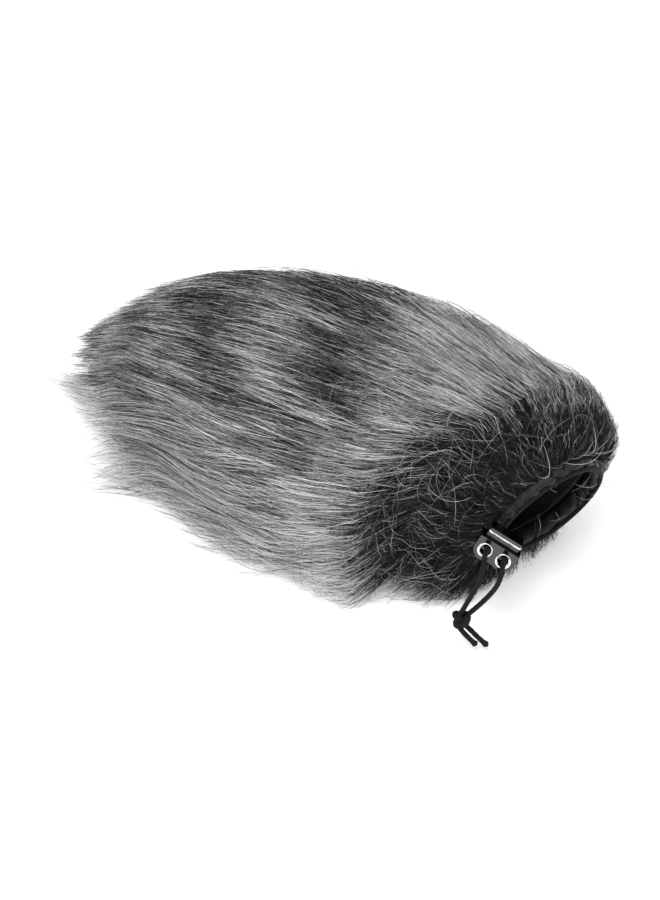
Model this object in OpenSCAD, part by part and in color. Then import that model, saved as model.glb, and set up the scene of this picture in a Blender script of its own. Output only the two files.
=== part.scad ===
// Furry slip-on windscreen with a drawstring mouth, lying on its side.
// +X points out of the mouth, +Z is up, and the windscreen rests on z = 0.

/* [Sleeve] */
// Outside radius of the knitted backing tube
backing_r = 40; // [39:0.5:42]
// Thickness of the knitted backing
backing_t = 1.2; // [0.8:0.1:1.4]
// Outside radius of the loose inner lining tube
lining_r = 36; // [34:0.5:36]
// Thickness of the lining mesh
lining_t = 0.6; // [0.4:0.1:0.8]
// Height of the tube's axis above the surface it lies on
axis_z = 50; // [46:1:52]
// Length of the straight tube
tube_len = 142; // [130:2:146]
// Depth of the domed closed end
dome_len = 30; // [24:1:32]

/* [Fur pile] */
// Half width of the fur where it is widest
pile_half_w = 86; // [82:1:90]
// Height of the fur where it is tallest
pile_h = 122; // [116:1:128]
// How far the combed-back fur trails behind the closed end
pile_trail = 88; // [80:2:92]

/* [Mouth] */
// Radius of the bore that grips the microphone's foam
mouth_bore_r = 27.5; // [26:0.5:28]
// Radial thickness of the drawstring binding
binding_t = 6; // [5.5:0.5:6.5]
// Width of the binding along the mouth's axis
binding_w = 9; // [8.5:0.5:10]
// How far the mouth droops below level, in degrees
mouth_pitch = 24; // [23:0.5:25]
// How far the mouth is turned to the front, in degrees
mouth_yaw = 20; // [19:0.5:21]

/* [Drawstring] */
// Diameter of the elastic cord
cord_d = 2.5; // [2:0.1:2.6]
// Diameter of the overhand knot
knot_d = 9.6; // [9:0.2:10]

/* [Cord lock] */
// Distance between the two cord holes
hole_gap = 9.5; // [9.4:0.1:9.6]
// Radius of each cord hole
hole_r = 2.6; // [2.5:0.05:2.7]
// Outside radius of each barrel
barrel_r = 5.5; // [5.4:0.1:6]
// Thickness of the lock from front to back
lock_t = 9; // [8.5:0.5:10]
// Travel of the spring plunger
plunger_travel = 2.3; // [1.8:0.1:2.3]

/* [Hidden] */

$fn = 64;
hull_fn = 32;
thin = 0.02;
reach = 400;
clearance = 0.3;

// Sleeve
tube_front = 90;
tube_back = tube_front - tube_len;
tail_x = tube_back - dome_len - pile_trail;
neck_r = 33;
lining_neck_r = 30.6;
neck_s = binding_w / 2;

// Fur
pile_steps = 14;
pile_widest_x = 80;
pile_tallest_x = 60;
collar_discs = [[38, 50], [10, 46], [4.5, 38]];

// Seams and their stitches
seam_gap = 0.4;
seam_t = 1.6;
seam_w = 8;
seam_len = 6;
thread_r = 0.25;
stitch_len = 2.4;
stitch_gap = 4;
stitch_room = 1;

// Mouth and drawstring channel
mouth_pos = [148, -5, 42];
mouth_outer_r = mouth_bore_r + binding_t;
inner_round = 1;
outer_round = 2;
channel_r = mouth_bore_r + binding_t / 2;
channel_hole_r = 1.7;
exit_angle = 173;
exit_offset = 2.2;
exit_r = 1.9;
loop_gap_angle = 12;
tack_angle = 6;

// Cord lock: its middle, its turn, and where the cords run through it
lock_pos = [145.7, -52.2, 47.3];
lock_turn = [-13, 28, 17];
body_top = 5.5;
cavity_floor = -3.6;
web_bottom = -5.1;
web_t = 7.6;
slot_half_w = 8.5;
slot_half_t = 2.7;
head_size = [16.4, 8, 3.2];
head_z = 7.9;
stem_bottom = -1.1;
spring_bore_r = 1.6;
spring_top = 7;
spring_r = 1.1;
wire_r = 0.22;
spring_turns = 7;
slide_gap = 0.2;

// Centre lines of the two drawstring legs, from the binding, through the
// lock and the knot, to the cut ends. The straight stretches run through
// the lock's holes.
knot_pos = [138.5, -68.5, 15];
left_route = [
    [136.2, -36.5, 46.7], [136.2, -39, 47.1], [136.9, -41.6, 47.8], [138.2, -44.6, 48.6],
    [140, -48, 49.5], [143, -55, 51], [146, -62, 52.5], [147.2, -64.8, 52.6],
    [148.1, -67, 51.2], [148.4, -68.3, 48.7], [148, -68.9, 45], [146.8, -69, 40.5],
    [144.6, -69, 34.5], [142.2, -69, 28.5], [139.4, -69.2, 21.5], [137.4, -69.4, 16.5],
    [138, -70, 12.2], [140.6, -70, 9.4], [144, -69.8, 6.8], [147.8, -69.4, 4.2]
];
right_route = [
    [140.2, -37.9, 44.9], [141.6, -39.6, 44.8], [143.8, -41.6, 44.7], [146, -43.4, 44.8],
    [148, -45.5, 45], [151, -52.5, 46.5], [154, -59.5, 48], [155.2, -62.3, 48.1],
    [156, -64.4, 46.7], [156, -65.7, 44.2], [155, -66.4, 40.6], [152.6, -66.8, 35.6],
    [149.2, -67.2, 30], [145.6, -67.5, 24.6], [142.2, -67.8, 19.8], [140, -67.8, 16],
    [141, -68, 12.2], [143.6, -67.2, 9.4], [147.2, -66.8, 6.6], [152, -66.2, 3.4]
];

// Half width and height of the fur at a place along the sleeve
function behind(x, start) = max(0, start - x) / (start - tail_x);
function pile_w_at(x) = pile_half_w * pow(1 - pow(behind(x, pile_widest_x), 1.4), 0.9);
function pile_h_at(x) = pile_h * (1 - pow(behind(x, pile_tallest_x), 2.6));
function unit(v) = v / norm(v);

// Direction of a route at one of its points
function heading(route, i) =
    unit(route[min(i + 1, len(route) - 1)] - route[max(i - 1, 0)]);

// One ring of a swept tube, square to the route
function ring_at(route, i, r, sides) =
    let (t = heading(route, i),
         u = unit(cross(t, [0.84, 0.54, 0])),
         v = cross(t, u))
    [for (k = [0:sides - 1]) route[i] + r * (cos(360 * k / sides) * u + sin(360 * k / sides) * v)];

// Tube swept along a list of points
module swept_tube(route, r, sides = 8) {
    n = len(route);
    points = [for (i = [0:n - 1]) each ring_at(route, i, r, sides)];
    walls = [for (i = [0:n - 2], k = [0:sides - 1])
        let (a = i * sides, b = a + sides, m = (k + 1) % sides)
        [a + k, b + k, b + m, a + m]];
    start_cap = [for (k = [0:sides - 1]) k];
    end_cap = [for (k = [sides - 1:-1:0]) (n - 1) * sides + k];
    polyhedron(points = points, faces = concat([start_cap], walls, [end_cap]));
}

// Places its children along the tube: their z = 0 is the straight tube's back
module on_tube() {
    translate([tube_back, 0, axis_z]) rotate([0, 90, 0]) children();
}

// Places its children in the mouth: their +Z leaves the mouth
module on_mouth() {
    translate(mouth_pos) rotate([0, mouth_pitch, -mouth_yaw]) rotate([0, 90, 0]) children();
}

// Places its children on the mouth's rim: +Z leaves the mouth, +X is radial
module on_rim(angle) {
    on_mouth() rotate([0, 0, 90 + angle]) children();
}

// Places its children in the lock: X across the barrels, Y to its back, Z up
module in_lock() {
    translate(lock_pos) rotate(lock_turn) children();
}

// Straight tube's solid core
module tube_core(r) {
    on_tube() cylinder(r = r, h = tube_len);
}

// Tapering neck between the tube and the mouth
module neck_core(r, mouth_r) {
    hull() {
        translate([tube_front - thin, 0, axis_z])
            rotate([0, 90, 0]) cylinder(r = r, h = thin, $fn = hull_fn);
        on_mouth() translate([0, 0, -neck_s - thin]) cylinder(r = mouth_r, h = thin, $fn = hull_fn);
    }
}

// Domed end's solid core
module dome_core(r, depth) {
    steps = 12;
    outline = concat([[0, 0]],
        [for (i = [0:steps]) [r * cos(90 * i / steps), -depth * sin(90 * i / steps)]]);
    on_tube() rotate_extrude() polygon(outline);
}

// Half-ellipse slice of the fur, flat on the surface
module pile_slice(x) {
    w = pile_w_at(x);
    h = pile_h_at(x);
    arc = [for (i = [0:hull_fn / 2]) [w * cos(360 * i / hull_fn), h * sin(360 * i / hull_fn)]];
    translate([x, 0, 0]) rotate([90, 0, 90]) linear_extrude(thin) polygon(arc);
}

// Whole outside shape of the combed fur
module pile_shape() {
    first = tail_x + 3;
    step = (pile_widest_x - first) / pile_steps;
    hull() {
        for (i = [0:pile_steps]) pile_slice(first + i * step);
        for (disc = collar_discs)
            on_mouth() translate([0, 0, -disc[0]]) cylinder(r = disc[1], h = thin, $fn = hull_fn);
    }
}

// Everything in front of the seam between the body and the end
module front_half() {
    translate([tube_back, -reach / 2, -reach / 2]) cube(reach);
}

// Row of stitches along the tube at one radius
module stitch_row(radius, count) {
    for (i = [0:count - 1])
        on_tube() translate([radius, 0, seam_len + 4 + i * stitch_gap])
            cylinder(r = thread_r, h = stitch_len, $fn = 16);
}

// Ring of stitches around the local Z axis, with a gap of skipped ones at +X
module stitch_ring(radius, count, skip = 0) {
    for (i = [skip:count - 1 - skip])
        rotate([0, 0, 360 * (i + 0.5) / count]) translate([radius, 0, 0]) rotate([90, 0, 0])
            cylinder(r = thread_r, h = stitch_len, center = true, $fn = 16);
}

module fur_pile_body() {
    color("dimgray") difference() {
        intersection() {
            pile_shape();
            front_half();
        }
        tube_core(backing_r + clearance);
        neck_core(backing_r + clearance, neck_r + clearance);
        on_mouth() translate([0, 0, -neck_s - clearance])
            cylinder(r = mouth_outer_r + stitch_room, h = reach / 10);
    }
}

module fur_pile_end() {
    color("gray") difference() {
        pile_shape();
        front_half();
        dome_core(backing_r + clearance, dome_len + clearance);
    }
}

module backing_body() {
    color([0.12, 0.12, 0.13]) difference() {
        union() {
            tube_core(backing_r);
            neck_core(backing_r, neck_r);
        }
        tube_core(backing_r - backing_t);
        neck_core(backing_r - backing_t, neck_r - backing_t);
    }
}

module backing_end() {
    color([0.15, 0.15, 0.16]) difference() {
        dome_core(backing_r, dome_len);
        dome_core(backing_r - backing_t, dome_len - backing_t);
    }
}

module lining_body() {
    color([0.07, 0.07, 0.08]) difference() {
        union() {
            tube_core(lining_r);
            neck_core(lining_r, lining_neck_r);
        }
        tube_core(lining_r - lining_t);
        neck_core(lining_r - lining_t, lining_neck_r - lining_t);
    }
}

module lining_end() {
    shrink = backing_r - lining_r;
    color([0.09, 0.09, 0.1]) difference() {
        dome_core(lining_r, dome_len - shrink);
        dome_core(lining_r - lining_t, dome_len - shrink - lining_t);
    }
}

// Folded edges of the lengthwise seam, inside the backing at the underside
module body_seam_allowance() {
    outer = backing_r - backing_t - seam_gap;
    color([0.2, 0.2, 0.2])
        on_tube() translate([outer - seam_t, -seam_w / 2, seam_len + 2])
            cube([seam_t, seam_w, tube_len - seam_len - 4]);
}

module body_seam_thread() {
    radius = backing_r - backing_t - seam_gap - seam_t - thread_r - 0.05;
    count = floor((tube_len - seam_len - 8) / stitch_gap);
    color([0.05, 0.05, 0.05]) stitch_row(radius, count);
}

// Folded edges of the round seam that closes the end
module end_seam_allowance() {
    outer = backing_r - backing_t - seam_gap;
    color([0.2, 0.2, 0.2])
        on_tube() translate([0, 0, thin]) difference() {
            cylinder(r = outer, h = seam_len);
            translate([0, 0, -1]) cylinder(r = outer - seam_t, h = seam_len + 2);
        }
}

module end_seam_thread() {
    radius = backing_r - backing_t - seam_gap - seam_t - thread_r - 0.1;
    color([0.05, 0.05, 0.05])
        on_tube() translate([0, 0, seam_len / 2]) stitch_ring(radius, 56);
}

// Soft rolled binding with the drawstring's channel inside
module mouth_binding() {
    inner = mouth_bore_r;
    outer = mouth_outer_r;
    half = binding_w / 2;
    color([0.08, 0.08, 0.08]) difference() {
        on_mouth() rotate_extrude() difference() {
            union() {
                translate([inner + inner_round, -half])
                    square([binding_t - inner_round - outer_round, binding_w]);
                translate([inner, inner_round - half])
                    square([binding_t / 2, binding_w - 2 * inner_round]);
                translate([outer - outer_round - 0.5, outer_round - half])
                    square([outer_round + 0.5, binding_w - 2 * outer_round]);
                for (side = [-1, 1]) {
                    translate([inner + inner_round, side * (half - inner_round)])
                        circle(r = inner_round);
                    translate([outer - outer_round, side * (half - outer_round)])
                        circle(r = outer_round);
                }
            }
            translate([channel_r, 0]) circle(r = channel_hole_r);
        }
        exit_hole(-exit_offset, 0);
        exit_hole(exit_offset, 28);
    }
}

// Hole where one leg of the drawstring leaves the channel
module exit_hole(offset, slant) {
    on_rim(exit_angle) translate([channel_r, 0, offset])
        rotate([0, 90 - slant, 0]) cylinder(r = exit_r, h = 3 * binding_t);
}

module binding_stitching() {
    color([0.2, 0.2, 0.2])
        on_rim(exit_angle) translate([0, 0, -binding_w / 2 + outer_round + thread_r])
            stitch_ring(mouth_outer_r + thread_r + 0.05, 60, skip = 1);
}

// Bars of dense stitching on both sides of the cord exits
module exit_bar_tacks() {
    color([0.1, 0.1, 0.1])
        for (side = [-1, 1])
            on_rim(exit_angle + side * tack_angle)
                translate([mouth_outer_r + thread_r + 0.05, 0, 0.7])
                    cylinder(r = thread_r, h = 3.4, center = true, $fn = 16);
}

// Hidden run of the elastic, inside the channel
module drawstring_loop() {
    color([0.05, 0.05, 0.05])
        on_rim(exit_angle + loop_gap_angle / 2)
            rotate_extrude(angle = 360 - loop_gap_angle)
                translate([channel_r, 0]) circle(d = cord_d, $fn = 32);
}

module drawstring_leg_left() {
    color([0.05, 0.05, 0.05]) swept_tube(left_route, cord_d / 2);
}

module drawstring_leg_right() {
    color([0.07, 0.07, 0.07]) swept_tube(right_route, cord_d / 2);
}

// Overhand knot that joins the two legs
module drawstring_knot() {
    wrap_r = 1.55;
    color([0.04, 0.04, 0.04]) translate(knot_pos) {
        sphere(r = knot_d / 2 - wrap_r);
        for (turn = [[70, 0, 20], [110, 30, 60]])
            rotate(turn) rotate_extrude()
                translate([knot_d / 2 - wrap_r, 0]) circle(r = wrap_r, $fn = 32);
    }
}

// Two-barrel housing of the cord lock
module lock_body() {
    half = hole_gap / 2;
    color("silver") in_lock() difference() {
        union() {
            for (side = [-1, 1])
                translate([side * half, lock_t / 2, 0]) rotate([90, 0, 0])
                    cylinder(r = barrel_r, h = lock_t);
            translate([-half - barrel_r, -lock_t / 2, 0])
                cube([hole_gap + 2 * barrel_r, lock_t, body_top]);
            translate([-half, -web_t / 2, web_bottom]) cube([hole_gap, web_t, -web_bottom]);
        }
        translate([-slot_half_w, -slot_half_t, cavity_floor])
            cube([2 * slot_half_w, 2 * slot_half_t, 2 * body_top - cavity_floor]);
        cord_holes(0);
    }
}

// Pair of cord holes at one height
module cord_holes(height) {
    for (side = [-1, 1])
        translate([side * hole_gap / 2, lock_t, height]) rotate([90, 0, 0])
            cylinder(r = hole_r, h = 2 * lock_t);
}

// Sprung plunger that pinches the cords against the housing
module lock_plunger() {
    stem_w = 2 * (slot_half_w - slide_gap);
    stem_t = 2 * (slot_half_t - slide_gap);
    color("lightgray") in_lock() difference() {
        union() {
            translate([-stem_w / 2, -stem_t / 2, stem_bottom])
                cube([stem_w, stem_t, head_z + 1 - stem_bottom]);
            translate([-head_size[0] / 2, -head_size[1] / 2, head_z]) cube(head_size);
        }
        cord_holes(plunger_travel);
        translate([0, 0, stem_bottom - 1]) cylinder(r = spring_bore_r, h = spring_top - stem_bottom + 1);
    }
}

// Coil spring between the housing's floor and the plunger
module lock_spring() {
    low = cavity_floor + wire_r + 0.05;
    high = spring_top - wire_r - 0.05;
    steps = 12 * spring_turns;
    helix = [for (i = [0:steps])
        [spring_r * cos(30 * i), spring_r * sin(30 * i), low + (high - low) * i / steps]];
    color("gray") in_lock() swept_tube(helix, wire_r, 6);
}

fur_pile_body();
fur_pile_end();
backing_body();
backing_end();
lining_body();
lining_end();
body_seam_allowance();
body_seam_thread();
end_seam_allowance();
end_seam_thread();
mouth_binding();
binding_stitching();
exit_bar_tacks();
drawstring_loop();
drawstring_leg_left();
drawstring_leg_right();
drawstring_knot();
lock_body();
lock_plunger();
lock_spring();
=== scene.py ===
"""Looks of the furry windscreen: real fur strands, gathered binding, braided elastic and chrome cord lock.

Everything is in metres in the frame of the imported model. The fur is laid out in sleeve coordinates:
run (distance behind the mouth), angle (round the sleeve, from +Y towards +Z) and lift (0 on the backing
cloth, 1 on the outside of the pile).
"""
import math

import bpy
import numpy as np
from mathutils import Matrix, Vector


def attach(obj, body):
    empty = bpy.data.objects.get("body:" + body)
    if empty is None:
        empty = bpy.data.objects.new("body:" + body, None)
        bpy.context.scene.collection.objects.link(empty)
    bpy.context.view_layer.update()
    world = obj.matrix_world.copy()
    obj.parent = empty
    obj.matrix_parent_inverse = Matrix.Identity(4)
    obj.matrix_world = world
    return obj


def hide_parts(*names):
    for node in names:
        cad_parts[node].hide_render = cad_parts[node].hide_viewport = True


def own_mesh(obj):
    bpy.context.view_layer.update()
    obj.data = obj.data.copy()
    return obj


MM = 0.001
SEED = 11
rng = np.random.default_rng(SEED)

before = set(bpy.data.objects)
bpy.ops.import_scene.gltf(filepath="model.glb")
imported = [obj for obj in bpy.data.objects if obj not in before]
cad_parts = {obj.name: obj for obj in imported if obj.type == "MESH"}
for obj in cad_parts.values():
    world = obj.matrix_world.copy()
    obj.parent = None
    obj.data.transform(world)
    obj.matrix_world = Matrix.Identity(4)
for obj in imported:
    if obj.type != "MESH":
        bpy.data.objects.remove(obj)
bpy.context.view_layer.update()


# ---------------------------------------------------------------- helpers
def build_mesh(name, points, faces, material_index=None, smooth=True):
    """A mesh object from an (n, 3) array of points and an (m, 3) or (m, 4) array of faces."""
    mesh = bpy.data.meshes.new(name)
    faces = np.asarray(faces, dtype=np.int32)
    mesh.vertices.add(len(points))
    mesh.vertices.foreach_set("co", np.asarray(points, dtype=np.float32).ravel())
    mesh.loops.add(faces.size)
    mesh.loops.foreach_set("vertex_index", faces.ravel())
    mesh.polygons.add(len(faces))
    mesh.polygons.foreach_set("loop_start", np.arange(0, faces.size, faces.shape[1], dtype=np.int32))
    mesh.polygons.foreach_set("use_smooth", np.full(len(faces), smooth))
    if material_index is not None:
        mesh.polygons.foreach_set("material_index", np.asarray(material_index, dtype=np.int32))
    mesh.update(calc_edges=True)
    obj = bpy.data.objects.new(name, mesh)
    bpy.context.scene.collection.objects.link(obj)
    return obj


def unit(v):
    v = np.asarray(v, dtype=float)
    return v / np.maximum(np.linalg.norm(v, axis=-1, keepdims=True), 1e-12)


def smoothstep(low, high, x):
    t = np.clip((x - low) / (high - low), 0, 1)
    return t * t * (3 - 2 * t)


def smooth_line(points, per_step):
    """Catmull-Rom curve through the points, with per_step points for each of its spans."""
    p = np.asarray(points, dtype=float)
    p = np.vstack([2 * p[0] - p[1], p, 2 * p[-1] - p[-2]])
    out = []
    for i in range(1, len(p) - 2):
        for t in np.linspace(0, 1, per_step, endpoint=False):
            a, b, c, d = p[i - 1], p[i], p[i + 1], p[i + 2]
            out.append(0.5 * (2 * b + (c - a) * t + (2 * a - 5 * b + 4 * c - d) * t ** 2
                              + (3 * b - a - 3 * c + d) * t ** 3))
    out.append(p[-2])
    return np.array(out)


def tube_frames(line):
    """Two unit normals along a line, carried without twist."""
    tangent = unit(np.gradient(line, axis=0))
    side = np.empty_like(line)
    first = np.cross(tangent[0], [0.31, 0.22, 0.92])
    side[0] = unit(first)
    for i in range(1, len(line)):
        v = side[i - 1] - tangent[i] * np.dot(side[i - 1], tangent[i])
        side[i] = unit(v)
    return side, np.cross(tangent, side)


def tube_mesh(name, line, radius, sides, closed=False, braid=0.0, strands=8, pitch=0.004):
    """A tube along a line. radius has one value for each point, and braid raises crossing ribs on it."""
    side, other = tube_frames(line)
    n = len(line)
    radius = np.broadcast_to(radius, n)
    run = np.concatenate([[0], np.cumsum(np.linalg.norm(np.diff(line, axis=0), axis=1))])
    angle = np.arange(sides) * 2 * np.pi / sides
    grid_angle = angle[None, :]
    grid_run = run[:, None]
    turn = 2 * np.pi * grid_run / pitch
    ribs = np.maximum(np.sin(strands * grid_angle / 2 + turn), np.sin(strands * grid_angle / 2 - turn))
    r = radius[:, None] * (1 + braid * ribs)
    ring = (side[:, None, :] * np.cos(grid_angle)[..., None]
            + other[:, None, :] * np.sin(grid_angle)[..., None])
    points = (line[:, None, :] + ring * r[..., None]).reshape(-1, 3)
    rows = n if closed else n - 1
    i, j = np.meshgrid(np.arange(rows), np.arange(sides), indexing="ij")
    a = i * sides + j
    b = i * sides + (j + 1) % sides
    c = ((i + 1) % n) * sides + (j + 1) % sides
    d = ((i + 1) % n) * sides + j
    quads = np.stack([a, b, c, d], axis=-1).reshape(-1, 4)
    faces = np.vstack([quads[:, [0, 1, 2]], quads[:, [0, 2, 3]]])
    if not closed:
        points = np.vstack([points, line[0], line[-1]])
        j = np.arange(sides)
        start = np.stack([(j + 1) % sides, j, np.full(sides, n * sides)], axis=1)
        last = (n - 1) * sides
        end = np.stack([last + j, last + (j + 1) % sides, np.full(sides, n * sides + 1)], axis=1)
        faces = np.vstack([faces, start, end])
    return build_mesh(name, points, faces)


def shader(name, color, roughness, metallic=0.0, specular=0.5):
    material = bpy.data.materials.new(name)
    material.use_nodes = True
    tree = material.node_tree
    bsdf = tree.nodes["Principled BSDF"]
    bsdf.inputs["Base Color"].default_value = (*color, 1)
    bsdf.inputs["Roughness"].default_value = roughness
    bsdf.inputs["Metallic"].default_value = metallic
    bsdf.inputs["Specular IOR Level"].default_value = specular
    return material, tree, bsdf


def add_node(tree, kind, **values):
    node = tree.nodes.new(kind)
    for key, value in values.items():
        if key in node.inputs:
            node.inputs[key].default_value = value
        else:
            setattr(node, key, value)
    return node


def mottle(tree, bsdf, dark, light, scale, detail=6.0):
    """Colour that drifts between two tones over the surface."""
    place = add_node(tree, "ShaderNodeTexCoord")
    noise = add_node(tree, "ShaderNodeTexNoise", Scale=scale, Detail=detail)
    ramp = add_node(tree, "ShaderNodeValToRGB")
    ramp.color_ramp.elements[0].position = 0.35
    ramp.color_ramp.elements[0].color = (*dark, 1)
    ramp.color_ramp.elements[1].position = 0.68
    ramp.color_ramp.elements[1].color = (*light, 1)
    tree.links.new(place.outputs["Object"], noise.inputs["Vector"])
    tree.links.new(noise.outputs["Fac"], ramp.inputs["Fac"])
    tree.links.new(ramp.outputs["Color"], bsdf.inputs["Base Color"])
    return place


def woven(tree, bsdf, place, scale, depth):
    """Two crossed sets of threads as a bump."""
    bands = []
    for direction in ("X", "Z"):
        wave = add_node(tree, "ShaderNodeTexWave", Scale=scale, Distortion=0.6, Detail=1.0)
        wave.bands_direction = direction
        tree.links.new(place.outputs["Object"], wave.inputs["Vector"])
        bands.append(wave)
    both = add_node(tree, "ShaderNodeMath", operation="MULTIPLY")
    tree.links.new(bands[0].outputs["Fac"], both.inputs[0])
    tree.links.new(bands[1].outputs["Fac"], both.inputs[1])
    bump = add_node(tree, "ShaderNodeBump", Strength=0.5, Distance=depth)
    tree.links.new(both.outputs["Value"], bump.inputs["Height"])
    tree.links.new(bump.outputs["Normal"], bsdf.inputs["Normal"])


def dress(obj, material):
    obj.data.materials.clear()
    obj.data.materials.append(material)


# ---------------------------------------------------------------- camera
AZIMUTH = math.radians(33)
ELEVATION = math.radians(35)
CAMERA_DISTANCE = 1.15
LOOK_AT = Vector((0.0254, -0.0061, 0.0311))

to_camera = Vector((math.sin(AZIMUTH) * math.cos(ELEVATION),
                    -math.cos(AZIMUTH) * math.cos(ELEVATION),
                    math.sin(ELEVATION)))
camera_data = bpy.data.cameras.new("camera")
camera_data.lens = 92
camera_data.sensor_width = 36
camera_data.clip_start = 0.01
camera_data.clip_end = 20
camera = bpy.data.objects.new("camera", camera_data)
camera.location = LOOK_AT + to_camera * CAMERA_DISTANCE
camera.rotation_euler = (-to_camera).to_track_quat("-Z", "Y").to_euler()
bpy.context.scene.collection.objects.link(camera)
bpy.context.scene.camera = camera


# ---------------------------------------------------------------- elastic drawstring
CORD_D = 2.5 * MM
LEFT_ROUTE = [
    [136.2, -36.5, 46.7], [136.2, -39, 47.1], [136.9, -41.6, 47.8], [138.2, -44.6, 48.6],
    [140, -48, 49.5], [143, -55, 51], [146, -62, 52.5], [147.2, -64.8, 52.6],
    [148.1, -67, 51.2], [148.4, -68.3, 48.7], [148, -68.9, 45], [146.8, -69, 40.5],
    [144.6, -69, 34.5], [142.2, -69, 28.5], [139.4, -69.2, 21.5], [137.4, -69.4, 16.5],
    [138, -70, 12.2], [140.6, -70, 9.4], [144, -69.8, 6.8], [147.8, -69.4, 4.2],
]
RIGHT_ROUTE = [
    [140.2, -37.9, 44.9], [141.6, -39.6, 44.8], [143.8, -41.6, 44.7], [146, -43.4, 44.8],
    [148, -45.5, 45], [151, -52.5, 46.5], [154, -59.5, 48], [155.2, -62.3, 48.1],
    [156, -64.4, 46.7], [156, -65.7, 44.2], [155, -66.4, 40.6], [152.6, -66.8, 35.6],
    [149.2, -67.2, 30], [145.6, -67.5, 24.6], [142.2, -67.8, 19.8], [140, -67.8, 16],
    [141, -68, 12.2], [143.6, -67.2, 9.4], [147.2, -66.8, 6.6], [152, -66.2, 3.4],
]
KNOT_POS = np.array([138.5, -68.5, 15]) * MM
KNOT_SWELL = 1.38
BRAID = {"braid": 0.045, "strands": 8, "pitch": 3.2 * MM}

elastic, tree, bsdf = shader("elastic_braid", (0.008, 0.008, 0.009), 0.7, specular=0.15)
place = mottle(tree, bsdf, (0.003, 0.003, 0.0033), (0.01, 0.01, 0.011), 900)
woven(tree, bsdf, place, 900, 0.0002)

for name, route in (("left", LEFT_ROUTE), ("right", RIGHT_ROUTE)):
    line = smooth_line(np.array(route) * MM, 12)
    length = float(np.linalg.norm(np.diff(line, axis=0), axis=1).sum())
    run = np.linspace(0, length, len(line))
    melted = np.exp(-((length - run - 1.2 * MM) / (1.1 * MM)) ** 2)
    rounded = np.sqrt(np.clip((length - run) / (0.9 * MM), 0.05, 1))
    radius = CORD_D / 2 * 0.95 * (1 + 0.3 * melted) * rounded
    leg = tube_mesh(f"elastic_{name}", line, radius, 20, **BRAID)
    dress(leg, elastic)
    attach(leg, "drawstring")
    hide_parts(f"drawstring_leg_{name}")

turn = np.linspace(0, 2 * np.pi, 240, endpoint=False)
knot_size = 1.15 * MM
knot_local = np.stack([np.sin(turn) + 2 * np.sin(2 * turn),
                       1.5 * -np.sin(3 * turn),
                       np.cos(turn) - 2 * np.cos(2 * turn)], axis=1) * knot_size
knot = tube_mesh("elastic_knot", knot_local + KNOT_POS, CORD_D / 2 * KNOT_SWELL, 20, closed=True, **BRAID)
dress(knot, elastic)
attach(knot, "drawstring")
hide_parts("drawstring_knot")


# ---------------------------------------------------------------- sleeve coordinates
BACKING_R = 40 * MM
AXIS_Z = 50 * MM
MOUTH = np.array([148, -5, 42]) * MM
MOUTH_N = np.array([0.858452, -0.312451, -0.406737])
MOUTH_Y = np.array([0.342020, 0.939693, 0])
MOUTH_Z = np.cross(MOUTH_N, MOUTH_Y)
BODY_FRONT = 80 * MM
TUBE_BACK = -52 * MM
DOME_LEN = 30 * MM
TAIL_TIP = -166 * MM
DOME_TIP = TUBE_BACK - DOME_LEN
SHAPE_TAIL = -170 * MM
HALF_W = 86 * MM
TOP_H = 121.5 * MM
TALLEST_X = 60 * MM
FLOOR_GAP = 0.3 * MM
ANGLES = 96
SKIRT_ANGLE = math.radians(243)
SKIRT_SPREAD = math.radians(54)

angle_grid = np.arange(ANGLES + 1) * 2 * np.pi / ANGLES


def pile_w(x):
    t = np.clip((BODY_FRONT - x) / (BODY_FRONT - SHAPE_TAIL), 0, 1)
    return HALF_W * (1 - t ** 1.4) ** 0.9 * (1 - 0.08 * smoothstep(40 * MM, 80 * MM, x))


def pile_h(x):
    t = np.clip((TALLEST_X - x) / (TALLEST_X - SHAPE_TAIL), 0, 1)
    return TOP_H * (1 - t ** 2.6)


def comb_w(x):
    """Half width that the strands are combed along: past the dome it narrows less than the pile does."""
    past = np.clip((DOME_TIP - x) / (DOME_TIP - TAIL_TIP), 0, 1)
    return np.maximum(pile_w(x) if x > DOME_TIP else 0, pile_w(TUBE_BACK) * 1.04 * (1 - 0.55 * past))


def comb_h(x):
    past = np.clip((TUBE_BACK - x) / (TUBE_BACK - TAIL_TIP), 0, 1)
    return pile_h(max(x, TUBE_BACK)) * (1 - 0.68 * past ** 1.1)


def pile_fill(points):
    """How far out each point is in the outline of the pile past the dome: 1 is on the outline."""
    x, y, z = points[..., 0], points[..., 1], points[..., 2]
    fill = (y / np.maximum(0.9 * pile_w(x), 1e-5)) ** 2 + (z / np.maximum(0.97 * pile_h(x), 1e-5)) ** 2
    cover = 1 + 0.9 * smoothstep(-112 * MM, -84 * MM, x)
    return np.where(x > DOME_TIP, 0, fill / cover)


def mouth_section(behind, inner_r, outer_r, skirt, ahead):
    """Outlines behind the mouth. skirt is how much further the fur hangs out and ahead at its lower left."""
    centre = MOUTH - MOUTH_N * behind
    ring = (MOUTH_Y * np.cos(angle_grid)[:, None]) + MOUTH_Z * np.sin(angle_grid)[:, None]
    low = np.exp(-((angle_grid - SKIRT_ANGLE) / SKIRT_SPREAD) ** 2)[:, None]
    outer = centre + ring * (outer_r + skirt * low) + MOUTH_N * (ahead * low)
    outer[:, 2] = np.maximum(outer[:, 2], FLOOR_GAP)
    return centre, centre + ring * inner_r, outer


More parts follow.
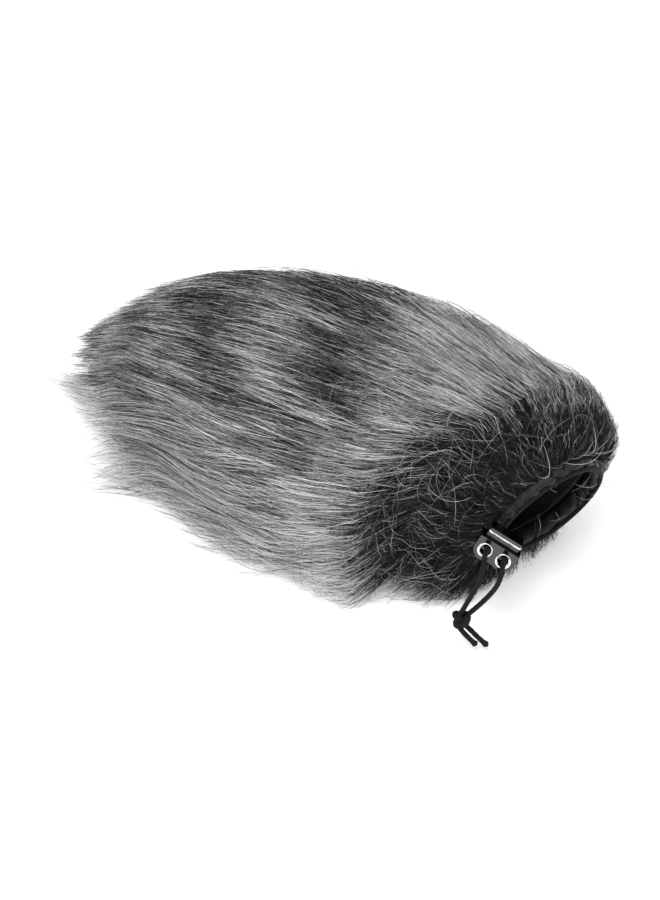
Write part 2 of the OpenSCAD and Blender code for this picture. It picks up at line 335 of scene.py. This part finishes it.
def body_section(x):
    """Backing and pile outlines in the plane at x: a circle, and a half ellipse that lies on the floor."""
    w, h = comb_w(x), comb_h(x)
    past_tube = max(0.0, TUBE_BACK - x)
    dome = math.sqrt(max(0.0, 1 - (past_tube / DOME_LEN) ** 2))
    past_dome = max(0.0, TUBE_BACK - DOME_LEN - x)
    trail = (TUBE_BACK - DOME_LEN) - TAIL_TIP
    zc = min(AXIS_Z - 34 * MM * min(1.0, past_dome / trail), 0.6 * h)
    inner_r = max(BACKING_R * dome, 0.5 * MM)
    cos, sin = np.cos(angle_grid), np.sin(angle_grid)
    qa = (cos / w) ** 2 + (sin / h) ** 2
    qb = 2 * zc * sin / h ** 2
    qc = (zc / h) ** 2 - 1
    reach = (-qb + np.sqrt(qb ** 2 - 4 * qa * qc)) / (2 * qa)
    floor_reach = np.where(sin < -1e-6, (zc - FLOOR_GAP) / np.maximum(-sin, 1e-6), 9.0)
    reach = np.minimum(reach, floor_reach)
    centre = np.array([x, 0, zc])
    ring = np.stack([np.zeros_like(cos), cos, sin], axis=1)
    inner = centre + ring * np.minimum(inner_r, reach * 0.9)[:, None]
    return centre, inner, centre + ring * reach[:, None]


sections = [mouth_section(4.2 * MM, 33.8 * MM, 39 * MM, 4 * MM, 13 * MM),
            mouth_section(7 * MM, 34.0 * MM, 45 * MM, 5 * MM, 17 * MM),
            mouth_section(11 * MM, 34.5 * MM, 49.5 * MM, 10 * MM, 20 * MM),
            mouth_section(24 * MM, 35.8 * MM, 52 * MM, 23 * MM, 28 * MM),
            mouth_section(37 * MM, 37.2 * MM, 54 * MM, 35 * MM, 34 * MM)]
body_xs = [80, 70, 60, 50, 40, 30, 20, 10, 0, -10, -20, -30, -40, -50, -56, -62, -68, -73, -77, -80, -82,
           -88, -95, -103, -112, -121, -130, -139, -148, -157, -163, -166]
sections += [body_section(x * MM) for x in body_xs]
centres = np.array([s[0] for s in sections])
inner_grid = np.array([s[1] for s in sections])
outer_grid = np.array([s[2] for s in sections])
steps = np.linalg.norm(np.diff(centres[:, :2], axis=0), axis=1)
run_grid = np.concatenate([[0], np.cumsum(steps)])
RUN_BODY = run_grid[5]
RUN_END = run_grid[-1]
RUN_DOME_TIP = RUN_BODY + BODY_FRONT - TUBE_BACK + DOME_LEN


def sleeve_point(run, angle, lift):
    """The point at these sleeve coordinates. All three are arrays of one shape."""
    run = np.clip(run, 0, RUN_END - 1e-7)
    i = np.clip(np.searchsorted(run_grid, run, side="right") - 1, 0, len(run_grid) - 2)
    f = ((run - run_grid[i]) / (run_grid[i + 1] - run_grid[i]))[..., None]
    turns = (angle / (2 * np.pi)) % 1 * ANGLES
    j = np.clip(turns.astype(int), 0, ANGLES - 1)
    g = (turns - j)[..., None]

    def sample(grid):
        low = grid[i, j] * (1 - g) + grid[i, j + 1] * g
        high = grid[i + 1, j] * (1 - g) + grid[i + 1, j + 1] * g
        return low * (1 - f) + high * f

    inner, outer = sample(inner_grid), sample(outer_grid)
    return inner + (outer - inner) * lift[..., None]


# ---------------------------------------------------------------- fur
SHADES = [0.008, 0.02, 0.042, 0.085, 0.15, 0.25, 0.38, 0.55, 0.74]
fur_shades = []
for number, tone in enumerate(SHADES):
    warm = (tone * 1.01, tone, tone * 0.99)
    material, tree, bsdf = shader(f"fur_shade_{number}", warm, 0.55, specular=0.12)
    fur_shades.append(material)

SEGMENTS = 7
HAIRS_PER_PIECE = 4300


def noise_field(points, scale, seed):
    """Smooth value between about -1 and 1, from a few waves in fixed random directions."""
    draw = np.random.default_rng(seed)
    total = 0
    for _ in range(7):
        direction = unit(draw.normal(size=3)) * draw.uniform(0.6, 1.6) / scale
        total = total + np.sin(points @ direction + draw.uniform(0, 6.28))
    return total / 3.2


def pile_length(run):
    """Strand length behind the mouth: short at the binding, full on the tube, longest round the end."""
    short = 12 + 70 * smoothstep(0, 62 * MM, run)
    return (short + 8 * smoothstep(150 * MM, 232 * MM, run)) * MM


def band_run(angle):
    """Where the light band runs: nearest the mouth on top, further back at the lower side."""
    return (41 + 45 * (0.5 + 0.5 * np.cos(angle - math.radians(192))) ** 3) * MM


def tone_of(run, angle, point, t, strand, clump):
    """Tone from 0, black, to 1, white, along a strand. strand and clump are random values."""
    middle_of_band = band_run(angle)
    seen = run + 8 * MM * strand + 6 * MM * clump
    collar = 1 - smoothstep(middle_of_band - 26 * MM, middle_of_band - 6 * MM, seen)
    band = np.exp(-((seen - middle_of_band) / (12 * MM)) ** 2)
    patches = noise_field(point, 15 * MM, 5) * 0.6 + noise_field(point, 7 * MM, 8) * 0.5
    x, height = point[..., 0], point[..., 2]
    tail = smoothstep(-110 * MM, -150 * MM, x)
    low = smoothstep(40 * MM, 6 * MM, height) * smoothstep(80 * MM, 130 * MM, run)
    bands = np.sin(13 * t + 40 * strand)
    root = 1 - smoothstep(0.12, 0.42, t)
    tip = smoothstep(0.78, 0.9, t) * np.where(strand > -0.2, -0.32, 0.16) * (1 - low)
    base = 0.55 - 0.12 * smoothstep(45 * MM, 112 * MM, height) - 0.45 * root + tip
    base = base + 0.03 + 0.2 * patches + 0.26 * strand + 0.24 * clump
    base = base + 0.42 * band + 0.1 * tail + 0.26 * low + 0.28 * bands
    dark = 0.12 + 0.08 * strand + 0.06 * clump + 0.04 * patches + 0.04 * bands
    dark = dark + 0.5 * smoothstep(1.2, 2.1, strand)
    return base * (1 - collar) + dark * collar


def shade_index(tone):
    return np.clip(np.round(tone * (len(SHADES) - 1)), 0, len(SHADES) - 1).astype(np.int32)


def strands_mesh(lines, widths):
    """Closed three-sided tapered prisms along (n, k, 3) lines.

    Returns points, faces, and each face's segment and strand.
    """
    n, k, _ = lines.shape
    tangent = unit(np.gradient(lines, axis=1))
    up = np.broadcast_to(np.array([0.13, 0.37, 0.92]), tangent.shape)
    side = unit(np.cross(tangent, up))
    other = np.cross(tangent, side)
    taper = np.interp(np.linspace(0, 1, k), [0, 0.35, 0.8, 1], [0.7, 1, 0.62, 0.16])
    r = widths[:, None, None] / 2 * taper[None, :, None]
    corners = []
    for j in range(3):
        a = 2 * np.pi * j / 3
        corners.append(lines + (side * math.cos(a) + other * math.sin(a)) * r)
    points = np.stack(corners, axis=2).reshape(-1, 3)
    faces, seg = [], []
    for i in range(k - 1):
        for j in range(3):
            a, b = i * 3 + j, i * 3 + (j + 1) % 3
            c, d = b + 3, a + 3
            faces += [(a, b, c), (a, c, d)]
            seg += [i, i]
    faces += [(2, 1, 0), ((k - 1) * 3, (k - 1) * 3 + 1, (k - 1) * 3 + 2)]
    seg += [0, k - 2]
    faces = np.array(faces)
    all_faces = (faces[None] + (np.arange(n) * 3 * k)[:, None, None]).reshape(-1, 3)
    return points, all_faces, np.tile(np.array(seg), n), np.repeat(np.arange(n), len(faces))


def emit(prefix, lines, widths, shades, replaced=()):
    """Makes fur pieces from strands. shades holds one shade number for each strand and segment."""
    pieces = []
    lines[..., 2] = np.maximum(lines[..., 2], FLOOR_GAP)
    for start in range(0, len(lines), HAIRS_PER_PIECE):
        part = slice(start, start + HAIRS_PER_PIECE)
        points, faces, seg, strand = strands_mesh(lines[part], widths[part])
        index = shades[part][strand, seg]
        piece = build_mesh(f"{prefix}_{len(pieces) + 1:02d}", points, faces, index)
        for material in fur_shades:
            piece.data.materials.append(material)
        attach(piece, "sleeve")
        if replaced:
            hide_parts(*replaced)
        pieces.append(piece)
    return pieces


def grow(prefix, run_from, run_to, clumps, per_clump, lift_range, width_range, loose, scatter, reach=1.0,
         painted_gap_shade=0.0, replaced=()):
    """Tufts of strands that start on the backing and are combed towards the closed end."""
    run_c = rng.uniform(run_from, run_to, clumps)
    angle_c = rng.uniform(0, 2 * np.pi, clumps)
    length_c = pile_length(run_c) * rng.uniform(0.82, 1.12, clumps) * reach
    lift_c = rng.uniform(*lift_range, clumps)
    drift_c = rng.normal(0, 0.05, clumps)
    wave_c = rng.uniform(0, 2 * np.pi, clumps)
    tone_c = rng.normal(0, 1, clumps)
    n = clumps * per_clump
    pick = np.repeat(np.arange(clumps), per_clump)
    run_s = rng.normal(0, scatter, n)
    angle_s = rng.normal(0, scatter / BACKING_R, n)
    t = np.linspace(0, 1, SEGMENTS + 1)[None, :]
    root = np.clip(run_c[pick] + run_s, 0, RUN_DOME_TIP - 1 * MM)
    length = length_c[pick] * rng.uniform(0.85, 1.12, n)
    length = np.minimum(length, RUN_END - 2 * MM - root)
    bend = rng.uniform(0.85, 1.25, n)[:, None]
    rise = lift_c[pick] * rng.uniform(0.88, 1.1, n)
    curl = 0.012 * rng.normal(0, 1, n)[:, None]
    stray = np.where(rng.random(n) < 0.1, rng.normal(0, 0.11, n), 0)[:, None]
    on_dome = root > RUN_DOME_TIP - 32 * MM
    start_lift = np.where(on_dome, rng.uniform(0.05, 0.75, n), 0)[:, None] * rise[:, None]

    def comb(u):
        """Run, angle and lift at the fractions u of each strand's full length."""
        gather = 1 - (1 - loose) * u ** 1.2
        run = root[:, None] + run_s[:, None] * (gather - 1) + length[:, None] * u ** (1.05 * bend)
        lift = start_lift + (rise[:, None] - start_lift) * (1 - (1 - u) ** (2.4 * bend))
        lift = lift * (1 + 0.8 * np.abs(stray) * u)
        sag = 0.06 * np.cos(angle_c[pick])[:, None] * u ** 1.6 * smoothstep(30 * MM, 90 * MM, run)
        wave = curl * np.sin(6.9 * u + wave_c[pick][:, None])
        angle = angle_c[pick][:, None] + angle_s[:, None] * gather + (drift_c[pick][:, None] + stray) * u
        return run, angle - sag + wave, lift

    whole = np.ones(n)
    limit = rng.uniform(0.62, 1.16, n)[:, None]
    for _ in range(2):
        lines = sleeve_point(*comb(t * whole[:, None]))
        inside = np.cumprod(pile_fill(lines) < limit, axis=1).sum(axis=1) / (SEGMENTS + 1)
        shorter = np.maximum(inside * rng.uniform(0.95, 1.15, n), 0.2)
        whole = np.minimum(whole * np.where(inside < 1, shorter, 1), 1)
    run, angle, lift = comb(t * whole[:, None])
    lines = sleeve_point(run, angle, lift)
    thin = (lines[:, -2, 2] < 26 * MM) & (root > 70 * MM) & (rng.random(n) < 0.72)
    lines, run, angle, pick = lines[~thin], run[~thin], angle[~thin], pick[~thin]
    n = len(lines)
    middle = (t[:, 1:] + t[:, :-1]) / 2
    seg_point = (lines[:, 1:] + lines[:, :-1]) / 2
    seg_run = (run[:, 1:] + run[:, :-1]) / 2
    seg_angle = (angle[:, 1:] + angle[:, :-1]) / 2
    strand = rng.normal(0, 1, n)[:, None]
    tone = tone_of(seg_run, seg_angle, seg_point, middle, strand, tone_c[pick][:, None])
    widths = rng.uniform(*width_range, n)
    # The tone is lowered by the given amount: painted shade for the gaps deep in the pile.
    return emit(prefix, lines, widths, shade_index(tone - painted_gap_shade), replaced)


SCALE = 1.0


def count(number):
    return int(number * SCALE)


# The underfur is shaded 0.3 darker: painted shade in the gaps between the strands.
grow("underfur", 0, RUN_DOME_TIP, count(1100), 12, (0.25, 0.62), (0.34 * MM, 0.46 * MM), 0.5, 3.0 * MM,
     reach=0.75, painted_gap_shade=0.3)
grow("fur_tube", 0, RUN_DOME_TIP - 60 * MM, count(2500), 15, (0.7, 1.0), (0.2 * MM, 0.34 * MM), 0.25,
     2.6 * MM, replaced=("fur_pile_body",))
grow("fur_end", RUN_DOME_TIP - 60 * MM, RUN_DOME_TIP, count(800), 15, (0.45, 1.0),
     (0.2 * MM, 0.34 * MM), 0.25, 2.6 * MM, replaced=("fur_pile_end",))
grow("fur_collar", 0, 45 * MM, count(900), 12, (0.6, 1.0), (0.18 * MM, 0.3 * MM), 0.5, 2.0 * MM)

grow("fur_rim", 0, 16 * MM, count(1500), 9, (0.55, 1.08), (0.16 * MM, 0.26 * MM), 0.6, 1.5 * MM, reach=0.32)

# Sparse long strands that trail out of the lower sides and the far end
FRINGE = count(4600)
t = np.linspace(0, 1, SEGMENTS + 1)[None, :]
side_sign = np.where(rng.random(FRINGE) < 0.5, -1, 1)
fringe_root = rng.uniform(75, 225, FRINGE)[:, None] * MM
height_angle = rng.uniform(-0.75, 0.1, FRINGE)
fringe_angle = np.where(side_sign < 0, np.pi - height_angle, height_angle)[:, None]
fringe_reach = rng.uniform(45, 95, FRINGE)[:, None] * MM
fringe_run = fringe_root + np.minimum(fringe_reach, RUN_END - fringe_root - 2 * MM) * t
fringe_lift = 0.62 + (0.34 + rng.uniform(0, 0.42, FRINGE)[:, None]) * t ** 1.2
fringe_lines = sleeve_point(fringe_run, fringe_angle + 0.04 * np.sin(5 * t + fringe_angle * 9), fringe_lift)
fringe_lines[..., 2] -= 0.06 * fringe_reach * t ** 2
fringe_lines[..., 1] = np.clip(fringe_lines[..., 1], -98 * MM, 98 * MM)
within = pile_fill(fringe_lines).max(axis=1) < 2.4
fringe_lines = fringe_lines[within]
fringe_tone = rng.choice([1, 2, 4, 6, 7, 8], len(fringe_lines), p=[0.14, 0.14, 0.16, 0.2, 0.2, 0.16])
fringe_shade = np.repeat(fringe_tone[:, None], SEGMENTS, axis=1).astype(np.int32)
emit("fringe", fringe_lines, rng.uniform(0.16, 0.26, len(fringe_lines)) * MM, fringe_shade)

# Fine light hairs that lie loose and curled on the short dark fur
FRIZZ = count(1100)
t = np.linspace(0, 1, 11)[None, :]
start_run = rng.uniform(3, 85, FRIZZ)[:, None] * MM
start_angle = rng.uniform(0, 2 * np.pi, FRIZZ)[:, None]
heading = rng.normal(0, 0.8, FRIZZ)[:, None] + rng.normal(0, 1.3, FRIZZ)[:, None] * t
reach = rng.uniform(10, 34, FRIZZ)[:, None] * MM
step = reach / 10
frizz_run = start_run + np.cumsum(step * np.cos(heading), axis=1)
frizz_angle = start_angle + np.cumsum(step * np.sin(heading), axis=1) / (55 * MM)
frizz_lift = rng.uniform(0.9, 1.04, FRIZZ)[:, None]
frizz_lift = frizz_lift + 0.05 * np.sin(np.pi * t * rng.uniform(1, 3, FRIZZ)[:, None])
frizz_lines = sleeve_point(np.maximum(frizz_run, 0.5 * MM), frizz_angle, frizz_lift)
frizz_tone = np.repeat(rng.integers(3, 8, FRIZZ)[:, None], 10, axis=1).astype(np.int32)
emit("frizz", frizz_lines, rng.uniform(0.11, 0.17, FRIZZ) * MM, frizz_tone)


def rim_point(angle, radius, ahead):
    """A point by the mouth, at a radius from its middle and a distance ahead of its plane."""
    ring = MOUTH_Y * np.cos(angle)[..., None] + MOUTH_Z * np.sin(angle)[..., None]
    return MOUTH + ring * radius[..., None] + MOUTH_N * ahead[..., None]


# Long light hairs that arch over the rim, some inwards and some back over the fur
STRAYS = 70
LOCK_ANGLE, LOCK_SWEEP = math.radians(173), math.radians(42)
start_angle = rng.uniform(0, 2 * np.pi, STRAYS)
inwards = rng.random(STRAYS) < 0.3
end_radius = np.where(inwards, rng.uniform(12, 26, STRAYS), rng.uniform(42, 58, STRAYS)) * MM
end_angle = start_angle + rng.uniform(-0.5, 0.5, STRAYS)
end_ahead = np.where(inwards, rng.uniform(-6, 3, STRAYS), rng.uniform(-14, -2, STRAYS)) * MM
root = rim_point(start_angle, np.full(STRAYS, 35 * MM), np.full(STRAYS, -6 * MM))
crest = rim_point((start_angle + end_angle) / 2, (35 * MM + end_radius) / 2,
                  rng.uniform(1, 9, STRAYS) * MM)
end = rim_point(end_angle, end_radius, end_ahead)
t = np.linspace(0, 1, 11)[None, :, None]
stray_lines = (1 - t) ** 2 * root[:, None] + 2 * t * (1 - t) * crest[:, None] + t ** 2 * end[:, None]
stray_shade = np.repeat(rng.integers(4, 9, STRAYS)[:, None], 10, axis=1).astype(np.int32)
stray_widths = rng.uniform(0.14, 0.22, STRAYS) * MM
from_lock = np.minimum(np.abs(start_angle - LOCK_ANGLE), np.abs(end_angle - LOCK_ANGLE))
clear = from_lock > LOCK_SWEEP
emit("stray_hairs", stray_lines[clear], stray_widths[clear], stray_shade[clear])


# ---------------------------------------------------------------- backing and lining
NECK_BACK = 9.2 * MM
TUBE_FRONT = 90 * MM
CLOTH_SIDES = 360
KNIT_RIBS, KNIT_STEP = 90, 1.9
CLOTH_GAP = 0.2 * MM
cloth_angle = np.arange(CLOTH_SIDES) * 2 * np.pi / CLOTH_SIDES


def ring_at(centre, y_axis, z_axis, radius):
    return centre + (y_axis * np.cos(cloth_angle)[:, None] + z_axis * np.sin(cloth_angle)[:, None]) * radius


def body_ring(x, radius):
    return ring_at(np.array([x, 0, AXIS_Z]), np.array([0, 1.0, 0]), np.array([0, 0, 1.0]), radius)


def tube_rows(radius, neck_radius):
    mouth_ring = ring_at(MOUTH - MOUTH_N * NECK_BACK, MOUTH_Y, MOUTH_Z, neck_radius)
    front = body_ring(TUBE_FRONT, radius)
    neck = [mouth_ring * (1 - f) + front * f for f in np.linspace(0, 1, 30, endpoint=False)]
    tube = [body_ring(x, radius) for x in np.linspace(TUBE_FRONT, TUBE_BACK + CLOTH_GAP, 90)]
    return np.array(neck + tube)


def dome_rows(radius, depth):
    first, deep = TUBE_BACK - CLOTH_GAP, depth - CLOTH_GAP
    return np.array([body_ring(first - deep * math.sin(a), radius * math.cos(a))
                     for a in np.linspace(0, math.radians(89.4), 60)])


def cloth(name, rows, thickness, relief, wrinkle):
    """A closed cloth shell: rows of its outside, a thickness inwards, a raised knit and soft wrinkles."""
    n = len(rows)
    middle = rows.mean(axis=1, keepdims=True)
    reach = np.linalg.norm(rows - middle, axis=2, keepdims=True)
    inward = (middle - rows) / reach
    row = np.arange(n)[:, None]
    knit = np.sin(KNIT_RIBS * cloth_angle)[None, :] * np.sin(KNIT_STEP * row)
    round_it = cloth_angle[None, :]
    soft = np.sin(5 * round_it + 0.06 * row) * np.sin(0.11 * row + 1.7 * np.sin(round_it))
    push = relief * (1 + knit) / 2 + wrinkle * (1 + soft) / 2
    push = np.minimum(push, reach[..., 0] * 0.2)[..., None]
    outside = rows + inward * push
    inside = outside + inward * np.minimum(thickness, reach * 0.4)
    points = np.concatenate([outside.reshape(-1, 3), inside.reshape(-1, 3)])
    i, j = np.meshgrid(np.arange(n - 1), np.arange(CLOTH_SIDES), indexing="ij")
    a, b = i * CLOTH_SIDES + j, i * CLOTH_SIDES + (j + 1) % CLOTH_SIDES
    c, d = b + CLOTH_SIDES, a + CLOTH_SIDES
    quads = np.stack([a, b, c, d], axis=-1).reshape(-1, 4)
    back = quads[:, ::-1] + n * CLOTH_SIDES
    j = np.arange(CLOTH_SIDES)
    rims = []
    for start in (0, (n - 1) * CLOTH_SIDES):
        p, q = start + j, start + (j + 1) % CLOTH_SIDES
        rim = np.stack([q, p, p + n * CLOTH_SIDES, q + n * CLOTH_SIDES], axis=1)
        rims.append(rim if start == 0 else rim[:, ::-1])
    return build_mesh(name, points, np.vstack([quads, back] + rims))


BACKING_T = 1.2 * MM * 0.8
BACKING_RELIEF, LINING_RELIEF = 0.16 * MM, 0.22 * MM
LINING_R, LINING_T, LINING_NECK_R = 36 * MM, 0.6 * MM, 29.5 * MM
NECK_R = 33 * MM
backing_cloth = cloth("backing_cloth", tube_rows(BACKING_R, NECK_R), BACKING_T, BACKING_RELIEF, 0)
backing_dome = cloth("backing_dome", dome_rows(BACKING_R, DOME_LEN), BACKING_T, BACKING_RELIEF, 0)
lining_cloth = cloth("lining_cloth", tube_rows(LINING_R, LINING_NECK_R), LINING_T, LINING_RELIEF, 1.2 * MM)
lining_dome = cloth("lining_dome", dome_rows(LINING_R, DOME_LEN - 4 * MM), LINING_T, LINING_RELIEF, 0.6 * MM)
SLEEVE_LENGTH = 0.192


# ---------------------------------------------------------------- binding
BORE_R = 27.5 * MM
BIND_T = 6 * MM
BIND_W = 9 * MM


def gathered_binding():
    """The binding ring: a soft rounded band drawn into uneven gathers by the elastic inside it."""
    around, profile = 720, 40
    phi = np.arange(around) * 2 * np.pi / around
    draw = np.random.default_rng(23)
    folds = np.zeros(around)
    for _ in range(30):
        middle, width, depth = draw.uniform(0, 2 * np.pi), draw.uniform(0.025, 0.07), draw.uniform(0.4, 1.0)
        gap = np.angle(np.exp(1j * (phi - middle)))
        folds -= depth * np.exp(-(gap / width) ** 2)
    folds = np.clip(folds, -1.3, 0)
    soft = 0.5 * np.sin(5 * phi + 0.6) + 0.35 * np.sin(11 * phi + 2.1) + 0.2 * np.sin(17 * phi)
    plump = smoothstep(1.55, 1.9, phi) * (1 - smoothstep(2.6, 2.85, phi)) * (0.5 + 0.5 * np.sin(24 * phi))
    a = np.arange(profile) * 2 * np.pi / profile
    power = 0.72
    cx = np.sign(np.cos(a)) * np.abs(np.cos(a)) ** power
    cy = np.sign(np.sin(a)) * np.abs(np.sin(a)) ** power
    half_t, half_w = BIND_T / 2, BIND_W / 2
    slant = phi[:, None] + 0.07 * cy[None, :]
    fold = np.interp(slant % (2 * np.pi), phi, folds, period=2 * np.pi)
    depth = fold * (0.85 + 0.15 * np.clip(cy, 0, 1))[None, :]
    r = BORE_R + half_t + cx[None, :] * half_t * (0.97 + 0.34 * depth) - 0.1 * MM
    along = -half_w + cy[None, :] * (half_w - 0.3 * MM) + 0.25 * MM * soft[:, None]
    along = along + 0.9 * MM * depth * (cy > 0)[None, :]
    r = r + 0.8 * MM * plump[:, None] * cx[None, :]
    along = along + 1.1 * MM * plump[:, None] * np.clip(cy, 0, 1)[None, :]
    points = rim_point(np.broadcast_to(phi[:, None], r.shape), r, along)
    i, j = np.meshgrid(np.arange(around), np.arange(profile), indexing="ij")
    p = i * profile + j
    q = i * profile + (j + 1) % profile
    s = ((i + 1) % around) * profile + (j + 1) % profile
    u = ((i + 1) % around) * profile + j
    return build_mesh("binding_cloth", points.reshape(-1, 3), np.stack([p, u, s, q], axis=-1).reshape(-1, 4))


binding = gathered_binding()
bind_cloth, tree, bsdf = shader("binding_cloth", (0.008, 0.008, 0.009), 0.42, specular=0.3)
place = mottle(tree, bsdf, (0.004, 0.004, 0.0045), (0.012, 0.012, 0.013), 240)
woven(tree, bsdf, place, 700, 0.00012)
dress(binding, bind_cloth)
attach(binding, "sleeve")
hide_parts("mouth_binding")


# ---------------------------------------------------------------- cloth sheets and the CAD nodes that stay
def node_material(kind):
    if kind == "chrome":
        # Chrome with a near-black base colour: a painted dark reflection, the shaded copy of the chrome
        # whose lit copy paints the edge highlights.
        material, tree, bsdf = shader("chrome_painted_dark_reflection", (0.07, 0.07, 0.075), 0.1, metallic=1.0)
        place = add_node(tree, "ShaderNodeTexCoord")
        noise = add_node(tree, "ShaderNodeTexNoise", Scale=420.0, Detail=8.0)
        spread = add_node(tree, "ShaderNodeMapRange")
        spread.inputs["To Min"].default_value = 0.05
        spread.inputs["To Max"].default_value = 0.2
        tree.links.new(place.outputs["Object"], noise.inputs["Vector"])
        tree.links.new(noise.outputs["Fac"], spread.inputs["Value"])
        tree.links.new(spread.outputs["Result"], bsdf.inputs["Roughness"])
        return material
    if kind == "spring":
        material, tree, bsdf = shader("spring_steel", (0.5, 0.5, 0.52), 0.3, metallic=1.0)
        mottle(tree, bsdf, (0.38, 0.38, 0.4), (0.55, 0.55, 0.57), 500)
        return material
    if kind == "thread":
        material, tree, bsdf = shader("black_thread", (0.02, 0.02, 0.02), 0.6)
        mottle(tree, bsdf, (0.01, 0.01, 0.01), (0.04, 0.04, 0.04), 900)
        return material
    if kind == "knit":
        material, tree, bsdf = shader("knit_backing", (0.03, 0.03, 0.03), 0.85, specular=0.2)
        place = mottle(tree, bsdf, (0.02, 0.02, 0.02), (0.05, 0.05, 0.05), 300)
        woven(tree, bsdf, place, 500, 0.0002)
        return material
    if kind == "lining":
        material, tree, bsdf = shader("mesh_lining", (0.02, 0.02, 0.022), 0.6, specular=0.3)
        place = mottle(tree, bsdf, (0.003, 0.003, 0.003), (0.012, 0.012, 0.013), 200)
        woven(tree, bsdf, place, 320, 0.0004)
        return material
    raise ValueError(kind)


SHEETS = [
    (backing_cloth, "backing_body", "knit", "knit_backing", (0.251, SLEEVE_LENGTH), None),
    (backing_dome, "backing_end", "knit", "knit_backing", (0.11, 0.11), 0.0095),
    (lining_cloth, "lining_body", "lining", "lining_mesh", (0.222, SLEEVE_LENGTH), None),
    (lining_dome, "lining_end", "lining", "lining_mesh", (0.096, 0.096), 0.0072),
]
cloth_paint = {kind: node_material(kind) for kind in ("knit", "lining")}
for piece, node, kind, slot_name, flat, area in SHEETS:
    dress(piece, cloth_paint[kind])
    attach(piece, "sleeve")
    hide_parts(node)

KEEP = {
    "chrome": ["lock_body", "lock_plunger"],
    "thread": ["body_seam_thread", "end_seam_thread", "binding_stitching", "exit_bar_tacks"],
    "knit": ["body_seam_allowance", "end_seam_allowance"],
}
for kind, names in KEEP.items():
    material = node_material(kind)
    for name in names:
        dress(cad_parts[name], material)
dress(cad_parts["drawstring_loop"], elastic)


# ---------------------------------------------------------------- painted highlights on the edges of the cord lock
LOCK_POS = np.array([145.7, -52.2, 47.3]) * MM
LOCK_W = np.array([0.844367, 0.258149, -0.469472])
LOCK_H = np.array([0.385872, -0.900918, 0.198620])
LOCK_P = np.array([0.371682, 0.348864, 0.860318])
FRONT = 4.5 * MM
HOLE_HALF_GAP = 4.75 * MM
HOLE_RIM_R = 3.15 * MM

# A light copy of the chrome for the hole rims and the plunger edge: painted highlights.
chrome_painted_highlight, tree, bsdf = shader("chrome_painted_highlight", (0.9, 0.9, 0.92), 0.08, metallic=1.0)
mottle(tree, bsdf, (0.78, 0.78, 0.8), (0.95, 0.95, 0.96), 300)


def lock_point(across, forward, up):
    return (LOCK_POS + LOCK_W * np.asarray(across)[..., None] + LOCK_H * np.asarray(forward)[..., None]
            + LOCK_P * np.asarray(up)[..., None])


around = np.linspace(0, 2 * np.pi, 72, endpoint=False)
for name, side in (("left", -1), ("right", 1)):
    line = lock_point(side * HOLE_HALF_GAP + HOLE_RIM_R * np.cos(around), np.full(72, FRONT),
                      HOLE_RIM_R * np.sin(around))
    # Each rim swells on one side into a bright crescent: a painted highlight.
    highlight_width = (0.62 if side > 0 else 0.5) * MM * (1 + 0.5 * np.cos(around + (0.9 if side > 0 else 2.4)))
    rim = tube_mesh(f"hole_rim_{name}", line, highlight_width, 14, closed=True)
    dress(rim, chrome_painted_highlight)
    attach(rim, "lock")

SPRING_R, SPRING_WIRE, SPRING_LOW, SPRING_HIGH, SPRING_TURNS = 1.1 * MM, 0.24 * MM, -3.3 * MM, 6.7 * MM, 7
t = np.linspace(0, 1, 24 * SPRING_TURNS + 1)
coil = 2 * np.pi * SPRING_TURNS * t
line = lock_point(SPRING_R * np.cos(coil), SPRING_R * np.sin(coil),
                  SPRING_LOW + (SPRING_HIGH - SPRING_LOW) * t)
spring = tube_mesh("return_spring", line, SPRING_WIRE, 10)
dress(spring, node_material("spring"))
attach(spring, "lock")
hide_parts("lock_spring")
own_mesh(spring)

HEAD_HALF = np.array([8.2, 4.0]) * MM
HEAD_TOP = 9.5 * MM
HEAD_EDGE_R = 0.5 * MM
corner = 1.1 * MM
edge_u, edge_v = [], []
for cu, cv, a0 in ((1, 1, 0), (-1, 1, 90), (-1, -1, 180), (1, -1, 270)):
    for a in np.radians(np.linspace(a0, a0 + 90, 8)):
        edge_u.append(cu * (HEAD_HALF[0] - corner) + corner * math.cos(a))
        edge_v.append(cv * (HEAD_HALF[1] - corner) + corner * math.sin(a))
line = lock_point(np.array(edge_u), np.array(edge_v), np.full(len(edge_u), HEAD_TOP - 0.3 * MM))
# A bright tube round the edge of the plunger head: a painted highlight.
head_edge = tube_mesh("plunger_edge", line, HEAD_EDGE_R, 12, closed=True)
dress(head_edge, chrome_painted_highlight)
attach(head_edge, "plunger")


# ---------------------------------------------------------------- floor and light
FLOOR_HALF = 15.0
floor_corners = np.array([[-1, -1, 0], [1, -1, 0], [1, 1, 0], [-1, 1, 0]]) * FLOOR_HALF
floor = build_mesh("floor", floor_corners, [[0, 1, 2, 3]])
floor_paint, tree, bsdf = shader("floor_paint", (0.92, 0.92, 0.92), 0.9, specular=0.1)
bsdf.inputs["Emission Color"].default_value = (1, 1, 1, 1)
bsdf.inputs["Emission Strength"].default_value = 0.28
dress(floor, floor_paint)

world = bpy.data.worlds.new("studio")
bpy.context.scene.world = world
world.use_nodes = True
world.node_tree.nodes["Background"].inputs["Color"].default_value = (1, 1, 1, 1)
world.node_tree.nodes["Background"].inputs["Strength"].default_value = 1.0


def softbox(name, place, power, size):
    light = bpy.data.lights.new(name, "AREA")
    light.shape = "DISK"
    light.size = size
    light.energy = power
    obj = bpy.data.objects.new(name, light)
    obj.location = place
    obj.rotation_euler = (-Vector(place)).to_track_quat("-Z", "Y").to_euler()
    bpy.context.scene.collection.objects.link(obj)


softbox("key", (0.25, -0.75, 1.5), 13, 0.9)
softbox("fill", (-1.0, -0.6, 1.1), 4, 1.2)

bpy.context.scene.view_settings.view_transform = "Standard"
bpy.context.scene.view_settings.look = "None"
